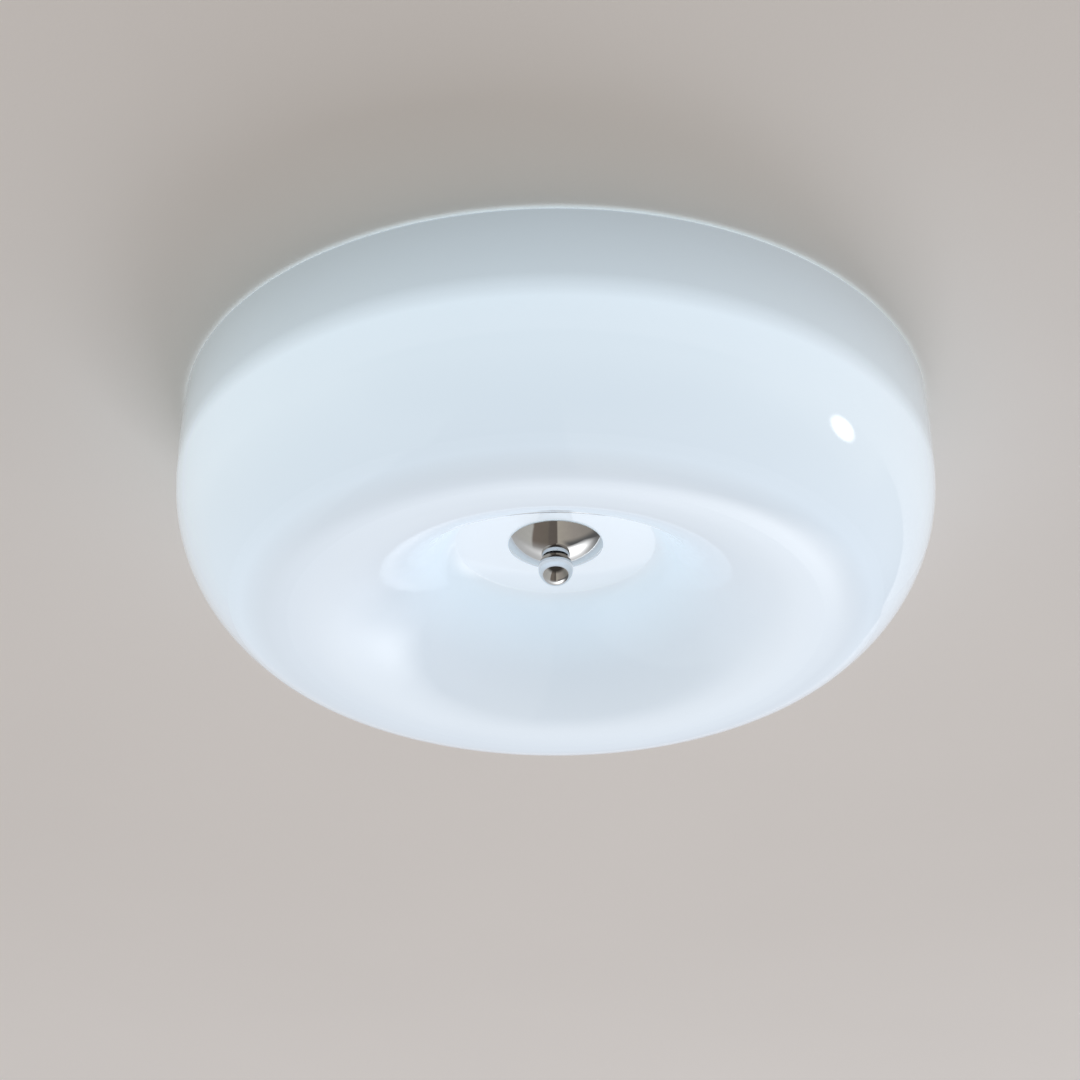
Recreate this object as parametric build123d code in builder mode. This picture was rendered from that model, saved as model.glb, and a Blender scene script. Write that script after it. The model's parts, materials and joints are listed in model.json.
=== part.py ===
from build123d import *
import os
from math import acos, asin, atan, atan2, cos, degrees, hypot, pi, radians, sin, sqrt

os.makedirs("parts", exist_ok=True)

# Glass ceiling light. The ceiling is the plane z = 0, and the light hangs below it round the Z axis.
# Lengths are in millimetres and angles in degrees.
half_turn = 180.0
quarter_turn = half_turn / 2

# Glass shade: a wall, a rounded shoulder, a bottom ring and a dish with a flat floor
shade_radius = 200.0
shade_height = 122.5
glass_wall = 3.5
rim_gap = 1.5
rim_lean = 2.0
rim_round = 1.2
shoulder_radius = 84.5
heel_radius = 48.0
heel_turn = 40.0
floor_depth = 75.1
floor_radius = 52.0
dish_to_lip = 0.25
crease_angle = 22.0
crease_radius = 2.0
glass_hole_clearance = 1.5

# Hanging rod, a hollow M10 thread, with its nuts and washers
rod_radius = 5.0
rod_bore_radius = 3.0
rod_top_length = 4.5
rod_chamfer = 0.8
nut_across = 17.0
nut_height = 5.0
nut_bevel_share = 0.6
washer_radius = 10.5
washer_thick = 1.5
thread_clearance = 0.05
pass_clearance = 0.3

# Gaskets on both sides of the glass
upper_gasket_radius = 14.0
upper_gasket_thick = 2.0
lower_gasket_inner = 16.0
lower_gasket_thick = 0.7
gasket_inset = 0.3

# Chromed finial: a domed cap with a flat seat, a thin washer and a ball nut
cap_radius = 24.9
cap_depth = 8.7
cap_sheet = 1.0
seat_radius = 6.8
finial_washer_radius = 6.5
finial_washer_thick = 0.6
ball_radius = 9.2
ball_drop = 5.6
finial_bore_depth = 9.0
rod_end_gap = 1.0

# Tray of white steel sheet, open towards the ceiling
tray_clearance = 31.5
tray_depth = 45.0
tray_sheet = 1.0
tray_gap = 1.0
tray_corner = 8.0
tray_flange = 7.0
tray_bend = 2.0

# Ceiling bracket, a steel strip with lowered tabs, and the studs that carry the tray
bracket_width = 24.0
bracket_thick = 2.0
bracket_flat = 92.0
bracket_drop = 8.0
bracket_ramp = 6.0
bracket_bend = 3.0
tab_length = 16.0
slot_spacing = 60.0
slot_length = 18.0
slot_width = 5.2
cable_hole_radius = 7.0
stud_spacing = 116.0
stud_radius = 2.0
stud_top_length = 2.0
stud_end_length = 6.0
small_nut_across = 7.0
small_nut_height = 3.2
cap_nut_height = 8.0
cap_nut_wall = 1.5
stud_chamfer = 0.4

# Light source: round board, chips, lenses, screws and connector
board_margin = 17.0
board_thick = 1.6
board_hole_radius = 15.0
board_access_radius = 7.0
led_edge = 16.0
led_inner_ring = 34.0
led_middle_ring = 92.0
led_counts = (6, 12, 20)
chip_size = 3.5
chip_height = 0.7
lens_radius = 6.8
lens_flange = 1.0
lens_dome = 3.6
lens_hollow = 2.6
lens_hollow_depth = 1.1
m3_radius = 1.5
m3_clearance = 0.1
m3_head_radius = 2.75
m3_head_height = 2.0
m3_head_round = 0.9
cross_length = 3.6
cross_width = 0.6
board_screw_count = 6
board_screw_reach = 2.0
connector_length = 12.0
connector_width = 10.0
connector_height = 6.0

# Driver: a plastic case on two ears, with its circuit board inside
driver_length = 96.0
driver_width = 46.0
driver_height = 26.0
driver_x = -8.0
driver_y = 42.0
driver_base_thick = 2.5
driver_wall = 1.8
driver_corner = 3.0
driver_ear = 10.0
driver_ear_width = 12.0
driver_ear_shift = 13.0
driver_rib_height = 4.5
driver_rib_width = 3.0
driver_board_margin = 1.2
transformer_size = (22.0, 20.0, 13.0)
capacitor_radius = 5.0
capacitor_height = 13.5
driver_part_offset = 22.0

# Mains terminal block with three poles
pole_pitch = 10.0
terminal_x = -88.0
terminal_depth = 22.0
terminal_height = 17.0
terminal_side = 7.0
wire_height = 9.0
tube_radius = 2.5
tube_bore = 1.5
tube_length = 20.0
tube_clearance = 0.1
terminal_screw_offset = 6.0
terminal_screw_head = 2.0
terminal_screw_head_height = 1.8
terminal_recess = 2.2
fixing_recess = 2.6

# Earth post with its nut and ring lug
earth_shift_x = -18.0
earth_y = 49.0
earth_hex_across = 7.0
lug_thick = 1.0
lug_ring_radius = 4.0
lug_barrel_radius = 1.9
lug_barrel_length = 6.0
lug_reach = 5.5

# Wires and the grommet that the light source's leads pass through
mains_wire_radius = 1.1
led_wire_radius = 0.9
led_wire_spacing = 3.2
led_wire_z = 3.2
bend_share = 0.45
wire_entry = 3.0
live_turn_y = 46.0
neutral_turn_y = 56.0
grommet_x = 58.0
grommet_y = 29.6
grommet_hole_radius = 4.5
grommet_bore_radius = 3.3
grommet_flange_radius = 6.2
grommet_flange_thick = 1.5
connector_x = 77.0

# Levels worked out from the sizes above
rim_z = -rim_gap
ring_z = rim_z - shade_height
floor_z = -floor_depth
floor_top_z = floor_z + glass_wall
cap_rim_z = floor_z - lower_gasket_thick
cap_dome_radius = (cap_radius**2 + cap_depth**2) / (2 * cap_depth)
cap_dome_z = cap_rim_z - cap_depth + cap_dome_radius
seat_z = cap_dome_z - sqrt(cap_dome_radius**2 - seat_radius**2)
ball_top_z = seat_z - finial_washer_thick
ball_z = ball_top_z - ball_drop
rod_bottom_z = ball_top_z - finial_bore_depth + rod_end_gap
face_z = -tray_gap - tray_depth
face_top_z = face_z + tray_sheet
rod_top_z = face_top_z + washer_thick + nut_height + rod_top_length
stop_washer_z = floor_top_z + upper_gasket_thick
board_z = face_z - board_thick
wire_z = face_top_z + wire_height
tab_z = -bracket_drop - bracket_thick
terminal_top_z = face_top_z + terminal_height

# Radii worked out from the sizes above
tray_radius = shade_radius - glass_wall - tray_clearance
board_radius = tray_radius - board_margin
led_outer_ring = board_radius - led_edge
led_rings = (led_inner_ring, led_middle_ring, led_outer_ring)
led_start = half_turn / led_counts[0]
board_screw_ring = (led_middle_ring + led_outer_ring) / 2
board_screw_start = half_turn / board_screw_count
pass_radius = rod_radius + pass_clearance
stud_x = stud_spacing / 2
driver_left = driver_x - driver_length / 2
driver_right = driver_x + driver_length / 2
pole_xs = (terminal_x - pole_pitch, terminal_x, terminal_x + pole_pitch)
earth_x = terminal_x + earth_shift_x


def shade_face(inset):
    """Draws one face of the glass, inset from the outer face, and returns its rim end and its hole end."""
    turn = radians(heel_turn)
    wall_rise = shade_height - heel_radius * (1 - cos(turn)) - shoulder_radius * cos(turn)
    bow_radius = (wall_rise**2 + rim_lean**2) / (2 * rim_lean)
    bow_turn = 2 * degrees(atan(rim_lean / wall_rise))
    ring_radius = shade_radius - heel_radius * sin(turn) - shoulder_radius * (1 - sin(turn))
    ring = (ring_radius, ring_z + inset)
    heel = JernArc(ring, (1, 0), heel_radius - inset, heel_turn)
    shoulder = JernArc(heel @ 1, heel % 1, shoulder_radius - inset, quarter_turn - heel_turn)
    wall = JernArc(shoulder @ 1, shoulder % 1, bow_radius - inset, bow_turn)
    # The lip rises inward from the ring and turns back into the dish, which meets the floor at a crease.
    crease = radians(crease_angle)
    run = ring_radius - floor_radius - crease_radius * sin(crease)
    rise = floor_z - ring_z - crease_radius * (1 - cos(crease))
    level = run * (1 + dish_to_lip * cos(crease)) + rise * dish_to_lip * sin(crease)
    lip_turn = atan2(rise, run) + acos(level / (1 + dish_to_lip) / hypot(run, rise))
    lip_radius = run / ((1 + dish_to_lip) * sin(lip_turn) - dish_to_lip * sin(crease))
    lip = JernArc(ring, (-1, 0), lip_radius - inset, -degrees(lip_turn))
    dish = JernArc(lip @ 1, lip % 1, dish_to_lip * lip_radius + inset, degrees(lip_turn) - crease_angle)
    corner = JernArc(dish @ 1, dish % 1, crease_radius + inset, crease_angle)
    hole_end = (rod_radius + glass_hole_clearance, floor_z + inset)
    Line(corner @ 1, hole_end)
    return wall @ 1, hole_end


with BuildPart() as glass_shade:
    with BuildSketch(Plane.XZ):
        with BuildLine():
            outer_rim, outer_hole = shade_face(0)
            inner_rim, inner_hole = shade_face(glass_wall)
            Line(outer_rim, inner_rim)
            Line(outer_hole, inner_hole)
        make_face()
    revolve(axis=Axis.Z)
    fillet(glass_shade.edges().filter_by(GeomType.CIRCLE).sort_by(Axis.Z)[-2:], rim_round)
glass_shade.part.label = "glass_shade"

with BuildPart() as chassis_pan:
    with BuildSketch(Plane.XZ):
        with BuildLine():
            mid_radius = tray_radius - tray_sheet / 2
            mid_face = face_z + tray_sheet / 2
            mid_flange = -tray_gap - tray_sheet / 2
            FilletPolyline(
                (0, mid_face),
                (mid_radius, mid_face),
                (mid_radius, mid_flange),
                (tray_radius + tray_flange, mid_flange),
                radius=[tray_corner, tray_bend],
            )
        trace(line_width=tray_sheet)
    revolve(axis=Axis.Z)
    with Locations((0, 0, face_z)):
        Hole(pass_radius)
    with Locations((-stud_x, 0, face_z), (stud_x, 0, face_z)):
        Hole(stud_radius + pass_clearance)
    with Locations((grommet_x, grommet_y, face_z)):
        Hole(grommet_hole_radius)
    with Locations((0, 0, face_z)):
        with PolarLocations(board_screw_ring, board_screw_count, board_screw_start):
            Hole(m3_radius + thread_clearance)
    ear_holes = [
        (driver_left - driver_ear / 2, driver_y - driver_ear_shift),
        (driver_right + driver_ear / 2, driver_y + driver_ear_shift),
    ]
    fixing_holes = [(terminal_x - pole_pitch / 2, 0), (terminal_x + pole_pitch / 2, 0)]
    with Locations(*[(x, y, face_z) for x, y in ear_holes + fixing_holes]):
        Hole(m3_radius + thread_clearance)
chassis_pan.part.label = "chassis_pan"

with BuildPart() as ceiling_bracket:
    with BuildSketch(Plane.XZ):
        with BuildLine():
            flat_x = bracket_flat / 2
            tab_x = flat_x + bracket_ramp
            FilletPolyline(
                (-tab_x - tab_length, tab_z + bracket_thick / 2),
                (-tab_x, tab_z + bracket_thick / 2),
                (-flat_x, -bracket_thick / 2),
                (flat_x, -bracket_thick / 2),
                (tab_x, tab_z + bracket_thick / 2),
                (tab_x + tab_length, tab_z + bracket_thick / 2),
                radius=bracket_bend,
            )
        trace(line_width=bracket_thick)
    extrude(amount=bracket_width / 2, both=True)
    with BuildSketch():
        with Locations((-slot_spacing / 2, 0), (slot_spacing / 2, 0)):
            SlotOverall(slot_length, slot_width)
        Circle(cable_hole_radius)
    extrude(amount=-bracket_thick, mode=Mode.SUBTRACT)
    with Locations((-stud_x, 0, tab_z), (stud_x, 0, tab_z)):
        Hole(stud_radius + thread_clearance)
    corners = ceiling_bracket.edges().filter_by(Axis.Z).group_by(Axis.X)
    fillet(corners[0] + corners[-1], bracket_bend)
ceiling_bracket.part.label = "ceiling_bracket"


def hex_nut(across, height, bore):
    """A plain hexagon nut that stands on z = 0."""
    with BuildPart() as nut:
        with BuildSketch():
            RegularPolygon(across / 2, 6, major_radius=False)
            Circle(bore, mode=Mode.SUBTRACT)
        extrude(amount=height)
        with BuildSketch(Plane.XZ):
            with BuildLine():
                corner_radius = across / sqrt(3)
                bevel = (corner_radius - across / 2) * nut_bevel_share
                for end, inward in ((0, bevel), (height, -bevel)):
                    Polyline(
                        (corner_radius, end),
                        (corner_radius, end + inward),
                        (across / 2, end),
                        close=True,
                    )
            make_face()
        revolve(axis=Axis.Z, mode=Mode.SUBTRACT)
    return nut.part


def flat_ring(inner, outer, thick):
    """A washer or gasket that stands on z = 0."""
    with BuildPart() as ring:
        Cylinder(outer, thick, align=(Align.CENTER, Align.CENTER, Align.MIN))
        Hole(inner)
    return ring.part


def pan_screw(reach):
    """An M3 screw with its head below z = 0 and its shank reaching up."""
    with BuildPart() as screw:
        Cylinder(m3_radius, reach, align=(Align.CENTER, Align.CENTER, Align.MIN))
        Cylinder(m3_head_radius, m3_head_height, align=(Align.CENTER, Align.CENTER, Align.MAX))
        fillet(screw.edges().group_by(Axis.Z)[0], m3_head_round)
        with BuildSketch(Plane.XY.offset(-m3_head_height)):
            with PolarLocations(0, 2, angular_range=half_turn):
                Rectangle(cross_length, cross_width)
        extrude(amount=m3_head_height / 2, mode=Mode.SUBTRACT)
    return screw.part


rod_nut = hex_nut(nut_across, nut_height, rod_radius + thread_clearance)
small_nut = hex_nut(small_nut_across, small_nut_height, stud_radius + thread_clearance)

with BuildPart() as bracket_studs:
    stud_length = tab_z + bracket_thick + stud_top_length - face_z + stud_end_length
    with Locations((-stud_x, 0, face_z - stud_end_length), (stud_x, 0, face_z - stud_end_length)):
        Cylinder(stud_radius, stud_length, align=(Align.CENTER, Align.CENTER, Align.MIN))
    chamfer(bracket_studs.edges().filter_by(GeomType.CIRCLE), stud_chamfer)
bracket_studs.part.label = "bracket_studs"

with BuildPart() as stud_locknuts:
    with Locations((-stud_x, 0, tab_z - small_nut_height), (stud_x, 0, tab_z - small_nut_height)):
        add(small_nut)
stud_locknuts.part.label = "stud_locknuts"

with BuildPart() as cap_nut:
    dome_radius = small_nut_across / 2 - gasket_inset
    add(Pos(0, 0, -small_nut_height) * small_nut)
    Cylinder(dome_radius, cap_nut_height, align=(Align.CENTER, Align.CENTER, Align.MAX))
    fillet(cap_nut.edges().group_by(Axis.Z)[0], dome_radius - gasket_inset)
    with Locations((0, 0, 0)):
        Hole(stud_radius + thread_clearance, cap_nut_height - cap_nut_wall)

with BuildPart() as pan_cap_nuts:
    with Locations((-stud_x, 0, face_z), (stud_x, 0, face_z)):
        add(cap_nut.part)
pan_cap_nuts.part.label = "pan_cap_nuts"

with BuildPart() as hanging_rod:
    with Locations((0, 0, rod_bottom_z)):
        Cylinder(rod_radius, rod_top_z - rod_bottom_z, align=(Align.CENTER, Align.CENTER, Align.MIN))
    chamfer(hanging_rod.edges().filter_by(GeomType.CIRCLE), rod_chamfer)
    with Locations((0, 0, rod_top_z)):
        Hole(rod_bore_radius)
hanging_rod.part.label = "hanging_rod"

with BuildPart() as rod_nuts:
    with Locations(
        (0, 0, face_top_z + washer_thick),
        (0, 0, face_z - washer_thick - nut_height),
        (0, 0, stop_washer_z + washer_thick),
    ):
        add(rod_nut)
rod_nuts.part.label = "rod_nuts"

with BuildPart() as rod_washers:
    with Locations((0, 0, face_top_z), (0, 0, face_z - washer_thick), (0, 0, stop_washer_z)):
        add(flat_ring(pass_radius, washer_radius, washer_thick))
rod_washers.part.label = "rod_washers"

with BuildPart() as upper_gasket:
    with Locations((0, 0, floor_top_z)):
        add(flat_ring(pass_radius, upper_gasket_radius, upper_gasket_thick))
upper_gasket.part.label = "upper_gasket"

with BuildPart() as lower_gasket:
    with Locations((0, 0, cap_rim_z)):
        add(flat_ring(lower_gasket_inner, cap_radius - gasket_inset, lower_gasket_thick))
lower_gasket.part.label = "lower_gasket"


def dome_arc(radius, low_z, high_z):
    """An arc of the cap's dome between two levels."""
    low_angle = degrees(asin((low_z - cap_dome_z) / radius))
    high_angle = degrees(asin((high_z - cap_dome_z) / radius))
    return CenterArc((0, cap_dome_z), radius, low_angle, high_angle - low_angle)


with BuildPart() as finial_cap:
    with BuildSketch(Plane.XZ):
        with BuildLine():
            outside = dome_arc(cap_dome_radius, seat_z, cap_rim_z)
            inside = dome_arc(cap_dome_radius - cap_sheet, seat_z + cap_sheet, cap_rim_z)
            Line(outside @ 1, inside @ 1)
            Polyline(outside @ 0, (pass_radius, seat_z), (pass_radius, seat_z + cap_sheet), inside @ 0)
        make_face()
    revolve(axis=Axis.Z)
finial_cap.part.label = "finial_cap"

with BuildPart() as finial_washer:
    with Locations((0, 0, ball_top_z)):
        add(flat_ring(pass_radius, finial_washer_radius, finial_washer_thick))
finial_washer.part.label = "finial_washer"

with BuildPart() as ball_finial:
    with Locations((0, 0, ball_z)):
        Sphere(ball_radius)
    split(bisect_by=Plane.XY.offset(ball_top_z), keep=Keep.BOTTOM)
    with Locations((0, 0, ball_top_z)):
        Hole(rod_radius + thread_clearance, finial_bore_depth)
ball_finial.part.label = "ball_finial"

with BuildPart() as led_board:
    with BuildSketch(Plane.XY.offset(board_z)):
        Circle(board_radius)
        Circle(board_hole_radius, mode=Mode.SUBTRACT)
        with Locations((-stud_x, 0), (stud_x, 0), (grommet_x, grommet_y)):
            Circle(board_access_radius, mode=Mode.SUBTRACT)
        with PolarLocations(board_screw_ring, board_screw_count, board_screw_start):
            Circle(m3_radius + m3_clearance, mode=Mode.SUBTRACT)
    extrude(amount=board_thick)
led_board.part.label = "led_board"

with BuildPart() as board_screws:
    with Locations((0, 0, board_z)):
        with PolarLocations(board_screw_ring, board_screw_count, board_screw_start):
            add(pan_screw(board_thick + tray_sheet + board_screw_reach))
board_screws.part.label = "board_screws"

with BuildPart() as lens:
    with BuildSketch(Plane.XZ):
        with BuildLine():
            dome_edge = lens_radius - lens_flange
            Polyline(
                (dome_edge, -lens_flange),
                (lens_radius, -lens_flange),
                (lens_radius, 0),
                (lens_hollow, 0),
                (lens_hollow, -lens_hollow_depth),
                (0, -lens_hollow_depth),
                (0, -lens_flange - lens_dome),
            )
            EllipticalCenterArc(
                (0, -lens_flange), dome_edge, lens_dome, -quarter_turn, arc_size=quarter_turn
            )
        make_face()
    revolve(axis=Axis.Z)

with BuildPart() as led_lenses:
    with Locations((0, 0, board_z)):
        for ring_radius, count in zip(led_rings, led_counts):
            with PolarLocations(ring_radius, count, led_start):
                add(lens.part)
led_lenses.part.label = "led_lenses"

with BuildPart() as led_chips:
    with Locations((0, 0, board_z)):
        for ring_radius, count in zip(led_rings, led_counts):
            with PolarLocations(ring_radius, count, led_start):
                Box(chip_size, chip_size, chip_height, align=(Align.CENTER, Align.CENTER, Align.MAX))
led_chips.part.label = "led_chips"

with BuildPart() as board_connector:
    with BuildSketch(Plane.XY.offset(board_z)):
        with Locations((connector_x, grommet_y)):
            Rectangle(connector_length, connector_width, align=(Align.MIN, Align.CENTER))
    extrude(amount=-connector_height)
    fillet(board_connector.edges().group_by(Axis.Z)[0], board_thick / 2)
    connector_mouth = (connector_x, grommet_y, board_z - led_wire_z)
    with BuildSketch(Plane(connector_mouth, x_dir=(0, 1, 0), z_dir=(1, 0, 0))):
        with Locations((-led_wire_spacing / 2, 0), (led_wire_spacing / 2, 0)):
            Circle(led_wire_radius + m3_clearance)
    extrude(amount=wire_entry, mode=Mode.SUBTRACT)
board_connector.part.label = "board_connector"

with BuildPart() as wire_grommet:
    with BuildSketch(Plane.XY.offset(face_z - grommet_flange_thick)):
        with Locations((grommet_x, grommet_y)):
            Circle(grommet_flange_radius)
    extrude(amount=grommet_flange_thick)
    with BuildSketch(Plane.XY.offset(face_z)):
        with Locations((grommet_x, grommet_y)):
            Circle(grommet_hole_radius)
    extrude(amount=tray_sheet)
    with BuildSketch(Plane.XY.offset(face_top_z)):
        with Locations((grommet_x, grommet_y)):
            Circle(grommet_flange_radius)
    extrude(amount=grommet_flange_thick)
    with Locations((grommet_x, grommet_y, face_z)):
        Hole(grommet_bore_radius)
wire_grommet.part.label = "wire_grommet"

with BuildPart() as driver_base:
    with BuildSketch(Plane.XY.offset(face_top_z)):
        with Locations((driver_x, driver_y)):
            RectangleRounded(driver_length, driver_width, driver_corner)
        for ear_x, ear_y in ear_holes:
            with Locations((ear_x, ear_y)):
                Rectangle(driver_ear + 2 * driver_corner, driver_ear_width)
    extrude(amount=driver_base_thick)
    with BuildSketch(Plane.XY.offset(face_top_z + driver_base_thick)):
        with Locations((driver_x, driver_y)):
            with GridLocations(1, driver_width / 2, 1, 2):
                Rectangle(driver_length / 2, driver_rib_width)
    extrude(amount=driver_rib_height)
    with Locations(*[(x, y, face_top_z) for x, y in ear_holes]):
        Hole(m3_radius + m3_clearance)
driver_base.part.label = "driver_base"

with BuildPart() as driver_cover:
    with BuildSketch(Plane.XY.offset(face_top_z + driver_base_thick)):
        with Locations((driver_x, driver_y)):
            RectangleRounded(driver_length, driver_width, driver_corner)
    extrude(amount=driver_height - driver_base_thick)
    fillet(driver_cover.faces().sort_by(Axis.Z)[-1].edges(), driver_corner / 2)
    offset(amount=-driver_wall, openings=driver_cover.faces().sort_by(Axis.Z)[0])
    with BuildSketch(Plane((driver_left, 0, wire_z), x_dir=(0, 1, 0), z_dir=(1, 0, 0))):
        with Locations((live_turn_y, 0), (neutral_turn_y, 0)):
            Circle(mains_wire_radius + m3_clearance)
    extrude(amount=driver_wall, mode=Mode.SUBTRACT)
    with BuildSketch(Plane((driver_right, 0, wire_z), x_dir=(0, 1, 0), z_dir=(1, 0, 0))):
        with Locations((grommet_y - led_wire_spacing / 2, 0), (grommet_y + led_wire_spacing / 2, 0)):
            Circle(led_wire_radius + m3_clearance)
    extrude(amount=-driver_wall, mode=Mode.SUBTRACT)
driver_cover.part.label = "driver_cover"

driver_board_z = face_top_z + driver_base_thick + driver_rib_height

with BuildPart() as driver_board:
    inner_margin = 2 * (driver_wall + driver_board_margin)
    with BuildSketch(Plane.XY.offset(driver_board_z)):
        with Locations((driver_x, driver_y)):
            Rectangle(driver_length - inner_margin, driver_width - inner_margin)
    extrude(amount=board_thick)
driver_board.part.label = "driver_board"

with BuildPart() as driver_transformer:
    with Locations((driver_x + driver_part_offset, driver_y, driver_board_z + board_thick)):
        Box(*transformer_size, align=(Align.CENTER, Align.CENTER, Align.MIN))
    chamfer(driver_transformer.edges().filter_by(Axis.Z), driver_wall)
driver_transformer.part.label = "driver_transformer"

with BuildPart() as driver_capacitor:
    with Locations((driver_x - driver_part_offset, driver_y, driver_board_z + board_thick)):
        Cylinder(capacitor_radius, capacitor_height, align=(Align.CENTER, Align.CENTER, Align.MIN))
    fillet(driver_capacitor.edges().group_by(Axis.Z)[-1], capacitor_radius / 5)
driver_capacitor.part.label = "driver_capacitor"

with BuildPart() as driver_screws:
    with Locations(*[(x, y, face_top_z + driver_base_thick) for x, y in ear_holes]):
        add(Rot(half_turn, 0, 0) * pan_screw(driver_base_thick + tray_sheet))
driver_screws.part.label = "driver_screws"

with BuildPart() as terminal_block:
    with BuildSketch(Plane.XY.offset(face_top_z)):
        with Locations((terminal_x, 0)):
            Rectangle(2 * pole_pitch + 2 * terminal_side, terminal_depth)
    extrude(amount=terminal_height)
    fillet(terminal_block.edges().filter_by(Axis.Z), terminal_recess / 2)
    with BuildSketch(Plane.XZ):
        with Locations(*[(x, wire_z) for x in pole_xs]):
            Circle(tube_radius + tube_clearance)
    extrude(amount=terminal_depth / 2, both=True, mode=Mode.SUBTRACT)
    screw_places = [(x, y) for x in pole_xs for y in (-terminal_screw_offset, terminal_screw_offset)]
    with Locations(*[(x, y, terminal_top_z) for x, y in screw_places]):
        CounterBoreHole(
            m3_radius + m3_clearance,
            terminal_screw_head + m3_clearance,
            terminal_recess,
            terminal_height - wire_height,
        )
    with Locations(*[(x, y, terminal_top_z) for x, y in fixing_holes]):
        CounterBoreHole(m3_radius + m3_clearance, m3_head_radius + m3_clearance, fixing_recess)
terminal_block.part.label = "terminal_block"

with BuildPart() as terminal_tubes:
    with BuildSketch(Plane.XZ):
        with Locations(*[(x, wire_z) for x in pole_xs]):
            Circle(tube_radius)
            Circle(tube_bore, mode=Mode.SUBTRACT)
    extrude(amount=tube_length / 2, both=True)
    with Locations(*[(x, y, wire_z + tube_radius) for x, y in screw_places]):
        Hole(m3_radius + thread_clearance, tube_radius)
terminal_tubes.part.label = "terminal_tubes"

with BuildPart() as terminal_screws:
    head_bottom_z = terminal_top_z - terminal_recess
    screw_reach = head_bottom_z - wire_z - tube_bore
    slot_depth = terminal_screw_head_height / 2
    with Locations(*[(x, y, head_bottom_z) for x, y in screw_places]):
        Cylinder(
            terminal_screw_head,
            terminal_screw_head_height,
            align=(Align.CENTER, Align.CENTER, Align.MIN),
        )
        Cylinder(m3_radius, screw_reach, align=(Align.CENTER, Align.CENTER, Align.MAX))
    with Locations(*[(x, y, head_bottom_z + terminal_screw_head_height) for x, y in screw_places]):
        Box(
            2 * terminal_screw_head,
            m3_radius / 2,
            slot_depth,
            align=(Align.CENTER, Align.CENTER, Align.MAX),
            mode=Mode.SUBTRACT,
        )
terminal_screws.part.label = "terminal_screws"

with BuildPart() as terminal_fixings:
    fixing_seat_z = terminal_top_z - fixing_recess
    with Locations(*[(x, y, fixing_seat_z) for x, y in fixing_holes]):
        add(Rot(half_turn, 0, 0) * pan_screw(fixing_seat_z - face_z - pass_clearance))
terminal_fixings.part.label = "terminal_fixings"

# The lug's barrel lies on the wire's level, so the post's hexagon is as high as the barrel's lower side.
lug_z = wire_z - lug_barrel_radius

with BuildPart() as earth_post:
    with BuildSketch(Plane.XY.offset(face_top_z)):
        with Locations((earth_x, earth_y)):
            RegularPolygon(earth_hex_across / 2, 6, major_radius=False)
    extrude(amount=lug_z - face_top_z)
    with BuildSketch(Plane.XY.offset(lug_z)):
        with Locations((earth_x, earth_y)):
            Circle(stud_radius)
    extrude(amount=lug_thick + small_nut_height + stud_top_length)
earth_post.part.label = "earth_post"

with BuildPart() as earth_lug:
    barrel_end_y = earth_y - lug_reach
    with BuildSketch(Plane.XY.offset(lug_z)):
        with Locations((earth_x, earth_y)):
            Circle(lug_ring_radius)
            Rectangle(2 * lug_barrel_radius, lug_reach, align=(Align.CENTER, Align.MAX))
            Circle(stud_radius + thread_clearance, mode=Mode.SUBTRACT)
    extrude(amount=lug_thick)
    with BuildSketch(Plane((earth_x, barrel_end_y, wire_z), x_dir=(1, 0, 0), z_dir=(0, -1, 0))):
        Circle(lug_barrel_radius)
    extrude(amount=lug_barrel_length)
    with BuildSketch(Plane((earth_x, barrel_end_y, wire_z), x_dir=(1, 0, 0), z_dir=(0, -1, 0))):
        Circle(mains_wire_radius + thread_clearance)
    extrude(amount=lug_barrel_length, mode=Mode.SUBTRACT)
earth_lug.part.label = "earth_lug"

with BuildPart() as earth_nut:
    with Locations((earth_x, earth_y, lug_z + lug_thick)):
        add(small_nut)
earth_nut.part.label = "earth_nut"


def lead(name, radius, points, bend):
    """A wire of straight runs joined by arcs. The ratio sets its volume against section times length."""
    with BuildPart() as wire:
        with BuildLine() as route:
            FilletPolyline(*points, radius=bend)
        with BuildSketch(Plane(route.line @ 0, z_dir=route.line % 0)):
            Circle(radius)
        sweep()
    wire.part.label = name
    length = sum(edge.length for edge in route.edges())
    ratio = wire.part.volume / (pi * radius**2 * length)
    print(f"{name}: length {length:.1f}, bend radius {bend:.1f}, volume ratio {ratio:.4f}")
    return wire


earth_pole_x, neutral_pole_x, live_pole_x = pole_xs
tube_mouth_y = tube_length / 2 - wire_entry
wire_live = lead(
    "wire_live",
    mains_wire_radius,
    [
        (live_pole_x, tube_mouth_y, wire_z),
        (live_pole_x, live_turn_y, wire_z),
        (driver_left + driver_wall, live_turn_y, wire_z),
    ],
    bend_share * (driver_left + driver_wall - live_pole_x),
)
wire_neutral = lead(
    "wire_neutral",
    mains_wire_radius,
    [
        (neutral_pole_x, tube_mouth_y, wire_z),
        (neutral_pole_x, neutral_turn_y, wire_z),
        (driver_left + driver_wall, neutral_turn_y, wire_z),
    ],
    bend_share * (driver_left + driver_wall - neutral_pole_x),
)

earth_wire_end_y = earth_y - lug_reach - lug_barrel_length + wire_entry
earth_wire_third = (earth_wire_end_y - tube_mouth_y) / 3
wire_earth = lead(
    "wire_earth",
    mains_wire_radius,
    [
        (earth_pole_x, tube_mouth_y, wire_z),
        (earth_pole_x, tube_mouth_y + earth_wire_third, wire_z),
        (earth_x, earth_wire_end_y - earth_wire_third, wire_z),
        (earth_x, earth_wire_end_y, wire_z),
    ],
    earth_wire_third,
)

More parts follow.
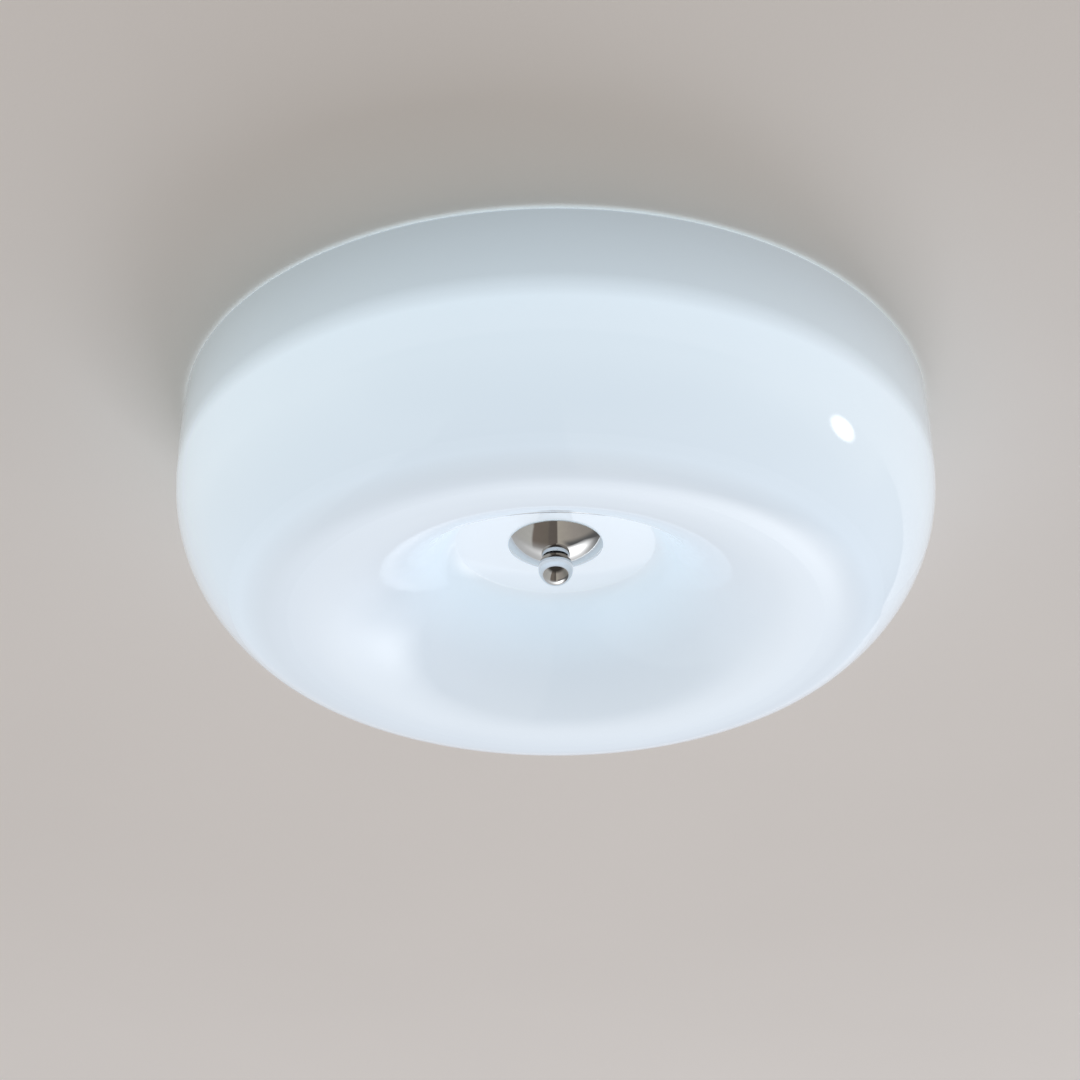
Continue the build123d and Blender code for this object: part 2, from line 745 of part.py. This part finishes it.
led_wires = []
led_lower_z = board_z - led_wire_z
for name, side in (("wire_led_positive", -1), ("wire_led_negative", 1)):
    y = grommet_y + side * led_wire_spacing / 2
    led_wires.append(
        lead(
            name,
            led_wire_radius,
            [
                (driver_right - driver_wall, y, wire_z),
                (grommet_x, y, wire_z),
                (grommet_x, y, led_lower_z),
                (connector_x + wire_entry, y, led_lower_z),
            ],
            bend_share * (wire_z - led_lower_z),
        )
    )

pieces = [
    ceiling_bracket,
    bracket_studs,
    stud_locknuts,
    chassis_pan,
    pan_cap_nuts,
    hanging_rod,
    rod_nuts,
    rod_washers,
    upper_gasket,
    glass_shade,
    lower_gasket,
    finial_cap,
    finial_washer,
    ball_finial,
    led_board,
    led_chips,
    led_lenses,
    board_screws,
    board_connector,
    wire_grommet,
    driver_base,
    driver_cover,
    driver_board,
    driver_transformer,
    driver_capacitor,
    driver_screws,
    terminal_block,
    terminal_tubes,
    terminal_screws,
    terminal_fixings,
    earth_post,
    earth_nut,
    earth_lug,
    wire_live,
    wire_neutral,
    wire_earth,
    *led_wires,
]
for piece in pieces:
    export_step(piece.part, f"parts/{piece.part.label}.step")
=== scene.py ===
import json
import math

import bmesh
import bpy
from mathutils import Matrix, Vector


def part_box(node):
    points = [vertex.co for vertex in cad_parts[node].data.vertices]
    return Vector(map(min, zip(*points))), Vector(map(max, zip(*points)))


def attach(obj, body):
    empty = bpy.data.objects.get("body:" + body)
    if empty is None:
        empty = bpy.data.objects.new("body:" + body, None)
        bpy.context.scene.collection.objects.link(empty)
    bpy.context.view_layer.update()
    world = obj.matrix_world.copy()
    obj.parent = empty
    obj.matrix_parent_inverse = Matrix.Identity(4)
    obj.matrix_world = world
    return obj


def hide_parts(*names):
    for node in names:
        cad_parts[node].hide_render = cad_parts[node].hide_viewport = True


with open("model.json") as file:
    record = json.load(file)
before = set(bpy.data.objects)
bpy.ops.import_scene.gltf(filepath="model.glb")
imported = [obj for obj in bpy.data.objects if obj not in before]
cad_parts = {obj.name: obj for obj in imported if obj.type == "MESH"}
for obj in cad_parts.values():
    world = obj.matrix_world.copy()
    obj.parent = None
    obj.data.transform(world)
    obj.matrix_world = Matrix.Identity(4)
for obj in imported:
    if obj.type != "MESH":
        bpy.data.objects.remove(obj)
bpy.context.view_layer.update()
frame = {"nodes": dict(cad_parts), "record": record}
nodes = frame["nodes"]

# Lengths are in metres. The ceiling is the plane z = 0, and the light hangs below it round the Z axis.
MM = 0.001

# Camera: where the photograph was taken from, and where the light's middle lands in its square frame
photo_width = 1080
focal_pixels = 3335.4
sensor_width = 36.0
view_target = Vector((0, 0, -67.5 * MM))
view_distance = 1755.1 * MM
view_elevation = math.radians(30.47)
target_pixel = (555.7, 531.4)

# The window that glass and chrome mirror: its distance beyond the light, half its width, and its ends
window_distance = 0.65
window_half = 0.9
window_top = -0.1
window_bottom = -1.2

# The small lamp behind the hot spot on the glass: where it hangs, and half the angles of its glow and core
lamp_direction = Vector((1.00, 0.01, -0.08)).normalized()
lamp_glow = math.radians(6.0)
lamp_core = math.radians(0.5)

# Levels of the glass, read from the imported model, and the radius of its bottom ring
glass_low, glass_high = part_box("glass_shade")
ring_z = glass_low.z
rim_z = glass_high.z
board_low, board_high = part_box("led_board")
tray_edge_z = board_low.z
ring_radius = 139.7 * MM


class Shading:
    """A node tree, with short ways to add nodes to it."""

    def __init__(self, tree):
        self.tree = tree

    def add(self, kind, **settings):
        node = self.tree.nodes.new(kind)
        for name, value in settings.items():
            setattr(node, name, value)
        return node

    def link(self, source, target):
        self.tree.links.new(source, target)

    def put(self, term, socket):
        """Sets a socket to a number or colour, or links it to another socket."""
        if isinstance(term, (int, float)):
            socket.default_value = term
        elif isinstance(term, tuple):
            socket.default_value = (*term, 1.0)
        else:
            self.link(term, socket)

    def math(self, operation, *terms):
        node = self.add("ShaderNodeMath", operation=operation)
        for term, socket in zip(terms, node.inputs):
            self.put(term, socket)
        return node.outputs[0]

    def parts(self, vector):
        """The X, Y and Z of a vector."""
        node = self.add("ShaderNodeSeparateXYZ")
        self.link(vector, node.inputs["Vector"])
        return node.outputs

    def spread(self, factor, low, high, to_low=0.0, to_high=1.0):
        """The factor's stretch from low to high, drawn out smoothly to another stretch."""
        node = self.add("ShaderNodeMapRange", interpolation_type="SMOOTHSTEP")
        for socket, value in zip(("From Min", "From Max", "To Min", "To Max"), (low, high, to_low, to_high)):
            node.inputs[socket].default_value = value
        self.link(factor, node.inputs["Value"])
        return node.outputs["Result"]

    def mix(self, factor, first, second, blend="MIX"):
        node = self.add("ShaderNodeMix", data_type="RGBA", blend_type=blend)
        for term, socket in zip((factor, first, second), (0, 6, 7)):
            self.put(term, node.inputs[socket])
        return node.outputs[2]

    def ramp(self, factor, low, high, *stops):
        """A colour ramp through (place, colour) stops, with places between low and high."""
        ramp = self.add("ShaderNodeValToRGB")
        points = ramp.color_ramp.elements
        while len(points) < len(stops):
            points.new(1.0)
        for point, (place, colour) in zip(points, stops):
            point.position = (place - low) / (high - low)
            point.color = (*colour, 1.0)
        share = self.math("DIVIDE", self.math("SUBTRACT", factor, low), high - low)
        self.link(share, ramp.inputs["Fac"])
        return ramp.outputs["Color"]


class Finish(Shading):
    """A material with one Principled shader."""

    def __init__(self, name, **values):
        self.material = bpy.data.materials.new(name)
        self.material.use_nodes = True
        super().__init__(self.material.node_tree)
        self.shader = self.tree.nodes["Principled BSDF"]
        self.place = self.add("ShaderNodeTexCoord").outputs["Object"]
        for socket, value in values.items():
            self.shader.inputs[socket.replace("_", " ")].default_value = value

    def noise(self, size, detail=3.0, stretch=None):
        """Noise with grains of the given size in metres, drawn out along the axes by the stretch."""
        noise = self.add("ShaderNodeTexNoise")
        noise.inputs["Scale"].default_value = 1.0 / size
        noise.inputs["Detail"].default_value = detail
        place = self.place
        if stretch:
            mapping = self.add("ShaderNodeMapping")
            mapping.inputs["Scale"].default_value = [1.0 / share for share in stretch]
            self.link(place, mapping.inputs["Vector"])
            place = mapping.outputs["Vector"]
        self.link(place, noise.inputs["Vector"])
        return noise.outputs["Fac"]

    def radius(self):
        """Distance from the Z axis."""
        x, y, z = self.parts(self.place)
        return self.math("SQRT", self.math("ADD", self.math("MULTIPLY", x, x), self.math("MULTIPLY", y, y)))

    def colour(self, source):
        self.link(source, self.shader.inputs["Base Color"])

    def cloud(self, factor, colour, dark, light):
        """Base colour that wanders between a darker and a lighter share of one colour."""
        self.colour(self.ramp(factor, 0.0, 1.0, (0.3, shade(colour, dark)), (0.7, shade(colour, light))))

    def rough(self, factor, low, high):
        self.link(self.spread(factor, 0.3, 0.7, low, high), self.shader.inputs["Roughness"])

    def bump(self, height, distance, *layers):
        node = self.add("ShaderNodeBump")
        node.inputs["Distance"].default_value = distance
        self.link(height, node.inputs["Height"])
        for layer in layers or ("Normal",):
            self.link(node.outputs["Normal"], self.shader.inputs[layer])


def shade(colour, share):
    """The colour made lighter or darker by a share."""
    return tuple(min(1.0, part * share) for part in colour)


def grey(level):
    """A colour with the same level in red, green and blue."""
    return (level, level, level)


def opal_glass():
    """Milky glass under a clear polished skin, with a painted glow: emission graded by height and radius
    stands in for the LEDs' light inside, with painted shade of the tray's edge, least of all light above the
    tray.
    """
    finish = Finish(
        "opal_glass",
        Roughness=0.5,
        Specular_IOR_Level=0.0,
        Coat_Weight=1.0,
        Coat_Roughness=0.04,
        Coat_IOR=1.5,
    )
    x, y, height = finish.parts(finish.place)
    radius = finish.radius()
    # Painted glow by height on the outer wall: brightest on the body, dimmer at the bottom ring, and painted
    # shade of the tray's edge on the wall above tray_edge_z
    painted_ring_glow = (0.371, 0.427, 0.472)
    painted_wall_glow = finish.ramp(
        height, ring_z, rim_z,
        (ring_z, painted_ring_glow),
        (ring_z + 1.5 * MM, painted_ring_glow),
        (ring_z + 7 * MM, (0.456, 0.537, 0.606)),
        (tray_edge_z - 32 * MM, (0.530, 0.609, 0.668)),
        (tray_edge_z - 7 * MM, (0.530, 0.609, 0.668)),
        (tray_edge_z + 7 * MM, (0.321, 0.368, 0.395)),
        (rim_z, (0.207, 0.232, 0.240)),
    )
    # Painted glow by radius in the dish, brightest on the floor nearest the LEDs above it
    painted_dish_glow = finish.ramp(
        radius, 0.0, ring_radius,
        (0.0, (0.438, 0.489, 0.527)),
        (50 * MM, (0.438, 0.489, 0.527)),
        (58 * MM, (0.430, 0.515, 0.577)),
        (84 * MM, (0.384, 0.444, 0.494)),
        (124 * MM, (0.377, 0.431, 0.472)),
        (ring_radius, painted_ring_glow),
    )
    # The painted glow goes in as emission colour, standing in for the LEDs' light coming through the glass
    glow = finish.mix(finish.spread(radius, ring_radius - 1 * MM, ring_radius + 1 * MM), painted_dish_glow, painted_wall_glow)
    finish.link(glow, finish.shader.inputs["Emission Color"])
    finish.shader.inputs["Emission Strength"].default_value = 1.0
    finish.cloud(finish.noise(60 * MM, detail=2.0), (0.585, 0.665, 0.745), 0.99, 1.01)
    finish.bump(finish.noise(45 * MM, detail=1.0), 0.03 * MM, "Coat Normal")
    return finish.material


def chrome():
    """Mirror chrome with the faint haze and hairlines of polishing."""
    finish = Finish("chrome", Metallic=1.0)
    haze = finish.noise(3 * MM, detail=4.0)
    finish.cloud(haze, (0.72, 0.725, 0.73), 0.98, 1.02)
    finish.rough(haze, 0.015, 0.04)
    finish.bump(finish.noise(0.25 * MM, detail=2.0), 0.0004 * MM)
    return finish.material


def powder_coat():
    """Satin white powder coat with its fine orange peel and a little dust."""
    finish = Finish("tray_paint")
    dust = finish.noise(24 * MM, detail=5.0)
    finish.cloud(dust, (0.82, 0.82, 0.812), 0.97, 1.04)
    finish.rough(dust, 0.38, 0.5)
    finish.bump(finish.noise(0.9 * MM, detail=2.0), 0.04 * MM)
    return finish.material


def zinc(name, colour, grain, roughness):
    """Zinc-plated steel: cloudy passivated colour with drawn grain."""
    finish = Finish(name, Metallic=1.0)
    finish.cloud(finish.noise(5 * MM, detail=4.0), colour, 0.86, 1.08)
    lines = finish.noise(0.5 * MM, stretch=grain)
    finish.rough(lines, roughness - 0.08, roughness + 0.1)
    finish.bump(lines, 0.01 * MM)
    return finish.material


def plastic(name, colour, roughness):
    """Moulded plastic with a spark-eroded skin."""
    finish = Finish(name)
    cloud = finish.noise(9 * MM)
    finish.cloud(cloud, colour, 0.95, 1.04)
    finish.rough(cloud, roughness - 0.05, roughness + 0.07)
    finish.bump(finish.noise(0.35 * MM, detail=2.0), 0.015 * MM)
    return finish.material


def rubber(name, colour, roughness):
    """Rubber with a bloom on it."""
    finish = Finish(name, IOR=1.42)
    bloom = finish.noise(2.5 * MM, detail=4.0)
    finish.cloud(bloom, colour, 0.88, 1.15)
    finish.rough(bloom, roughness - 0.08, roughness + 0.1)
    finish.bump(finish.noise(0.2 * MM, detail=2.0), 0.02 * MM)
    return finish.material


def insulation(name, colour, stripe=None):
    """Wire insulation, with a stripe along it on an earth wire."""
    finish = Finish(name, Roughness=0.38)
    cloud = finish.noise(3 * MM, detail=2.0)
    skin = finish.ramp(cloud, 0.0, 1.0, (0.3, shade(colour, 0.9)), (0.7, shade(colour, 1.12)))
    if stripe:
        normal = finish.add("ShaderNodeTexCoord").outputs["Normal"]
        x, y, facing = finish.parts(normal)
        skin = finish.mix(finish.spread(facing, 0.45, 0.6), skin, stripe)
    finish.colour(skin)
    finish.bump(finish.noise(0.3 * MM, detail=2.0), 0.01 * MM)
    return finish.material


def light_board():
    """White solder mask over ring tracks that stand a little proud of the board."""
    finish = Finish("board_white")
    track_pitch = 9 * MM
    wave = finish.math("SINE", finish.math("MULTIPLY", finish.radius(), 2 * math.pi / track_pitch))
    track = finish.spread(wave, 0.1, 0.3)
    cloud = finish.noise(14 * MM)
    mask = finish.ramp(cloud, 0.0, 1.0, (0.3, (0.80, 0.81, 0.80)), (0.7, (0.86, 0.865, 0.85)))
    finish.colour(finish.mix(track, mask, (0.76, 0.775, 0.755)))
    finish.rough(cloud, 0.3, 0.4)
    finish.bump(track, 0.05 * MM)
    return finish.material


def lit(name, colour, glow, strength):
    """A small part of the light source: frosted, and lit from within."""
    finish = Finish(name, Roughness=0.25, Emission_Strength=strength)
    cloud = finish.noise(1.5 * MM, detail=2.0)
    finish.cloud(cloud, colour, 0.93, 1.0)
    bright = finish.ramp(cloud, 0.0, 1.0, (0.3, shade(glow, 0.9)), (0.7, glow))
    finish.link(bright, finish.shader.inputs["Emission Color"])
    finish.bump(finish.noise(0.3 * MM), 0.01 * MM)
    return finish.material


def circuit_board():
    """Green solder mask with tracks that show as paler lines."""
    finish = Finish("circuit_green", Roughness=0.35)
    lines = finish.add("ShaderNodeTexBrick")
    for socket, value in (
        ("Scale", 1.0),
        ("Brick Width", 9 * MM),
        ("Row Height", 4 * MM),
        ("Mortar Size", 0.5 * MM),
        ("Color1", (0.05, 0.21, 0.09)),
        ("Color2", (0.06, 0.25, 0.11)),
        ("Mortar", (0.13, 0.36, 0.17)),
    ):
        finish.put(value, lines.inputs[socket])
    finish.link(finish.place, lines.inputs["Vector"])
    finish.colour(lines.outputs["Color"])
    finish.bump(finish.noise(0.5 * MM), 0.02 * MM)
    return finish.material


materials = {
    "opal_glass": opal_glass(),
    "chrome": chrome(),
    "tray_paint": powder_coat(),
    "zinc_steel": zinc("zinc_steel", (0.60, 0.61, 0.635), (1.0, 1.0, 8.0), 0.3),
    "silicone": rubber("silicone", (0.68, 0.69, 0.68), 0.45),
    "black_rubber": rubber("black_rubber", (0.025, 0.025, 0.026), 0.6),
    "board_white": light_board(),
    "led_phosphor": lit("led_phosphor", (0.86, 0.72, 0.22), (1.0, 0.96, 0.82), 2.0),
    "lens_acrylic": lit("lens_acrylic", (0.84, 0.87, 0.90), (0.86, 0.94, 1.0), 1.1),
    "white_plastic": plastic("white_plastic", (0.78, 0.78, 0.76), 0.42),
    "circuit_green": circuit_board(),
    "ferrite": plastic("ferrite", (0.07, 0.07, 0.075), 0.6),
    "can_aluminium": plastic("can_aluminium", (0.05, 0.06, 0.10), 0.35),
    "brass": zinc("brass", (0.74, 0.55, 0.25), (1.0, 1.0, 5.0), 0.27),
    "wire_brown": insulation("wire_brown", (0.17, 0.065, 0.03)),
    "wire_blue": insulation("wire_blue", (0.025, 0.11, 0.42)),
    "wire_green_yellow": insulation("wire_green_yellow", (0.05, 0.27, 0.06), (0.80, 0.66, 0.04)),
    "wire_red": insulation("wire_red", (0.48, 0.025, 0.02)),
    "wire_black": insulation("wire_black", (0.02, 0.02, 0.021)),
}
for subpart in frame["record"]["subparts"]:
    slots = nodes[subpart["node"]].data.materials
    slots.clear()
    slots.append(materials[subpart["material_slot"]])


# Threads: the plain rods get the grooves that their nuts run in
def ring(mesh, x, z, radii):
    """A level ring of points round the line at x, one for each radius."""
    points = []
    for k, radius in enumerate(radii):
        angle = 2 * math.pi * k / len(radii)
        points.append(mesh.verts.new((x + radius * math.cos(angle), radius * math.sin(angle), z)))
    return points


def bridge(mesh, first, second):
    """The band of faces between two rings."""
    for k in range(len(first)):
        after = (k + 1) % len(first)
        mesh.faces.new((first[k], first[after], second[after], second[k]))


def thread(node, pitch, bore=0.0):
    """Rods with a cut thread, where the node has one plain rod, or one at each end of its reach along X."""
    low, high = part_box(node)
    length = high.z - low.z
    radius = (high.y - low.y) / 2
    depth = 0.6 * pitch
    sides = 32
    rows_per_turn = 4
    rows = round(rows_per_turn * length / pitch)
    mesh = bmesh.new()
    for x in sorted({round(low.x + radius, 6), round(high.x - radius, 6)}):
        rings = []
        for row in range(rows + 1):
            rise = length * row / rows
            lead = depth - min(rise, length - rise)
            grooves = [abs(2 * ((rise / pitch - side / sides) % 1.0) - 1) for side in range(sides)]
            radii = [radius - max(depth * groove, lead) for groove in grooves]
            rings.append(ring(mesh, x, low.z + rise, radii))
        if bore:
            hole = [ring(mesh, x, z, [bore] * sides) for z in (high.z, low.z)]
            rings += hole + rings[:1]
        else:
            mesh.faces.new(rings[0])
            mesh.faces.new(rings[-1])
        for first, second in zip(rings, rings[1:]):
            bridge(mesh, first, second)
    bmesh.ops.recalc_face_normals(mesh, faces=mesh.faces)
    name = node + "_thread"
    rods = bpy.data.meshes.new(name)
    mesh.to_mesh(rods)
    mesh.free()
    rods.materials.append(materials["zinc_steel"])
    rods.shade_smooth()
    rods.set_sharp_from_angle(angle=math.radians(35))
    piece = bpy.data.objects.new(name, rods)
    bpy.context.scene.collection.objects.link(piece)
    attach(piece, "chassis")
    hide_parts(node)


thread("hanging_rod", pitch=1.0 * MM, bore=3.0 * MM)
thread("bracket_studs", pitch=0.7 * MM)


# Stage: the pale ceiling, seen from below only, and the window that only mirrors see
def ceiling_paint():
    """Matt warm-grey wall paint that can't be seen from its back."""
    finish = Finish("ceiling_paint", Roughness=0.85)
    finish.cloud(finish.noise(0.35, detail=4.0), (0.898, 0.895, 0.849), 0.985, 1.015)
    finish.bump(finish.noise(2.2 * MM), 0.05 * MM)
    clear = finish.add("ShaderNodeBsdfTransparent")
    sides = finish.add("ShaderNodeMixShader")
    finish.link(finish.add("ShaderNodeNewGeometry").outputs["Backfacing"], sides.inputs["Fac"])
    finish.link(finish.shader.outputs["BSDF"], sides.inputs[1])
    finish.link(clear.outputs["BSDF"], sides.inputs[2])
    finish.link(sides.outputs["Shader"], finish.tree.nodes["Material Output"].inputs["Surface"])
    return finish.material


def add_panel(name, points, faces, material):
    """A flat piece of the stage that doesn't light matt surfaces or throw shadows."""
    mesh = bpy.data.meshes.new(name)
    mesh.from_pydata(points, [], faces)
    mesh.materials.append(material)
    panel = bpy.data.objects.new(name, mesh)
    bpy.context.scene.collection.objects.link(panel)
    panel.visible_diffuse = False
    panel.visible_shadow = False
    return panel


def add_ceiling():
    """A wide disc, open above the tray, where the bracket and the driver sit."""
    hole_radius = 0.14
    disc_radius = 4.0
    sides = 64
    points = []
    for radius in (hole_radius, disc_radius):
        for k in range(sides):
            angle = 2 * math.pi * k / sides
            points.append((radius * math.cos(angle), radius * math.sin(angle), 0.0))
    faces = []
    for k in range(sides):
        after = (k + 1) % sides
        faces.append((k, after, sides + after, sides + k))
    add_panel("ceiling", points, faces, ceiling_paint())


def window_light():
    """Soft daylight on a pane: brightest right of its middle, and faded out at its top and bottom."""
    finish = Finish(
        "window_light",
        Base_Color=(0.0, 0.0, 0.0, 1.0),
        Specular_IOR_Level=0.0,
        Emission_Strength=1.0,
    )
    peak_x = 0.06
    top_tilt = 0.38
    bottom_tilt = 0.3
    x, y, z = finish.parts(finish.place)
    aside = finish.math("ABSOLUTE", finish.math("SUBTRACT", x, peak_x))
    top = finish.ramp(
        finish.math("MULTIPLY_ADD", aside, top_tilt, z), -0.70, -0.10,
        (-0.62, grey(1.0)),
        (-0.54, grey(0.88)),
        (-0.48, grey(0.68)),
        (-0.42, grey(0.43)),
        (-0.36, grey(0.24)),
        (-0.28, grey(0.13)),
        (-0.18, grey(0.0)),
    )
    bottom = finish.ramp(
        finish.math("MULTIPLY_ADD", x, bottom_tilt, z), -1.20, -0.60,
        (-1.10, grey(0.0)),
        (-1.00, grey(0.2)),
        (-0.90, grey(0.45)),
        (-0.80, grey(0.75)),
        (-0.70, grey(1.0)),
    )
    finish.link(finish.math("MULTIPLY", top, bottom), finish.shader.inputs["Alpha"])
    daylight = finish.ramp(
        x, -window_half, window_half,
        (-0.88, grey(0.52)),
        (-0.50, grey(0.85)),
        (-0.28, grey(0.90)),
        (-0.18, grey(1.02)),
        (-0.11, grey(1.28)),
        (-0.04, grey(1.45)),
        (0.03, grey(1.57)),
        (0.10, grey(1.82)),
        (0.17, grey(2.15)),
        (0.24, grey(2.55)),
        (0.31, grey(2.80)),
        (0.38, grey(2.65)),
        (0.45, grey(2.25)),
        (0.52, grey(1.80)),
        (0.59, grey(1.30)),
        (0.66, grey(1.00)),
        (0.73, grey(0.70)),
        (0.88, grey(0.12)),
    )
    finish.link(daylight, finish.shader.inputs["Emission Color"])
    return finish.material


def add_window():
    """The window that the glass and the chrome mirror, close beyond the light."""
    corners = [
        (-window_half, window_distance, window_bottom),
        (window_half, window_distance, window_bottom),
        (window_half, window_distance, window_top),
        (-window_half, window_distance, window_top),
    ]
    window = add_panel("window", corners, [(0, 1, 2, 3)], window_light())
    window.visible_camera = False


def add_room():
    """Soft room light for matt surfaces, and a plainly drawn room for the mirrors to show."""
    world = bpy.data.worlds.new("room")
    bpy.context.scene.world = world
    world.use_nodes = True
    room = Shading(world.node_tree)
    direction = room.add("ShaderNodeTexCoord").outputs["Generated"]
    across, away, up = room.parts(direction)

    # Matt surfaces see a soft box of light, with a colour for each of its sides
    soft = grey(0.0)
    for part, sign, colour in (
        (across, 1.0, (0.611, 0.533, 0.470)),
        (across, -1.0, (0.386, 0.363, 0.289)),
        (away, 1.0, (0.670, 0.630, 0.692)),
        (away, -1.0, (0.077, 0.132, 0.181)),
        (up, 1.0, grey(0.80)),
        (up, -1.0, (0.479, 0.408, 0.386)),
    ):
        facing = room.math("MAXIMUM", room.math("MULTIPLY", part, sign), 0.0)
        soft = room.mix(room.math("MULTIPLY", facing, facing), soft, colour, blend="ADD")

    # Mirrors see a floor in broad strips, a grey wall away from the camera and the dark near side
    least = 0.2
    depth = room.math("MAXIMUM", room.math("MULTIPLY", up, -1.0), least)
    side = room.math("DIVIDE", across, depth)
    floor = room.ramp(
        side, -1.5, 1.5,
        (-1.5, (0.45, 0.44, 0.42)),
        (-0.60, (0.52, 0.51, 0.48)),
        (-0.54, (0.20, 0.165, 0.14)),
        (-0.18, (0.18, 0.155, 0.13)),
        (-0.14, (0.145, 0.125, 0.11)),
        (0.03, (0.14, 0.12, 0.105)),
        (0.05, (0.46, 0.42, 0.36)),
        (0.45, (0.37, 0.335, 0.30)),
        (1.5, (0.24, 0.23, 0.21)),
    )
    wall = room.mix(room.spread(up, -0.40, -0.10), floor, (0.43, 0.40, 0.36))
    far = room.mix(room.spread(away, 0.35, 0.80), wall, grey(0.52))
    seen = room.mix(room.spread(away, -0.35, -0.75), far, (0.05, 0.045, 0.04))

    # It is dark beside the window, and a small lamp hangs far to the right
    bearing = room.math("DIVIDE", across, room.math("MAXIMUM", away, least))
    beside = room.math("MULTIPLY", room.spread(bearing, 0.25, 0.65), room.spread(away, 0.25, 0.45))
    seen = room.mix(beside, seen, grey(0.12))
    along = room.add("ShaderNodeVectorMath", operation="DOT_PRODUCT")
    room.link(direction, along.inputs[0])
    along.inputs[1].default_value = lamp_direction
    spot = room.spread(along.outputs["Value"], math.cos(lamp_glow), math.cos(lamp_core))
    seen = room.mix(spot, seen, grey(12.0))

    # The camera sees a pale backdrop
    path = room.add("ShaderNodeLightPath")
    lit_by = room.mix(path.outputs["Is Glossy Ray"], soft, seen)
    shown = room.mix(path.outputs["Is Camera Ray"], lit_by, (0.78, 0.765, 0.75))
    room.link(shown, world.node_tree.nodes["Background"].inputs["Color"])


def area_light(name, place, size, radiance, colour):
    """A soft panel that faces the middle of the light and doesn't show in mirrors."""
    lamp = bpy.data.lights.new(name, "AREA")
    lamp.size = size
    lamp.energy = radiance * math.pi * size**2
    lamp.color = colour
    panel = bpy.data.objects.new(name, lamp)
    panel.location = place
    panel.rotation_euler = (view_target - Vector(place)).to_track_quat("-Z", "Y").to_euler()
    panel.visible_glossy = False
    bpy.context.scene.collection.objects.link(panel)


def add_camera():
    """The camera, turned so that the target lands at its pixel."""
    data = bpy.data.cameras.new("camera")
    data.sensor_width = sensor_width
    data.lens = sensor_width * focal_pixels / photo_width
    data.clip_end = 50.0
    view = bpy.data.objects.new("camera", data)
    sight = Vector((0, math.cos(view_elevation), math.sin(view_elevation)))
    right = Vector((1, 0, 0))
    upward = right.cross(sight)
    aside = (target_pixel[0] - photo_width / 2) / focal_pixels
    below = (target_pixel[1] - photo_width / 2) / focal_pixels
    view.location = view_target - sight * view_distance
    view.rotation_euler = (sight - right * aside + upward * below).to_track_quat("-Z", "Y").to_euler()
    bpy.context.scene.collection.objects.link(view)
    bpy.context.scene.camera = view


add_ceiling()
add_window()
add_room()
area_light("key", place=(0.9, 3.4, -2.4), size=2.0, radiance=4.0, colour=(0.853, 0.897, 0.995))
area_light("top_panel", place=(0.0, 0.0, 2.0), size=1.4, radiance=3.0, colour=(1.0, 1.0, 1.0))
add_camera()
bpy.context.scene.view_settings.view_transform = "Standard"
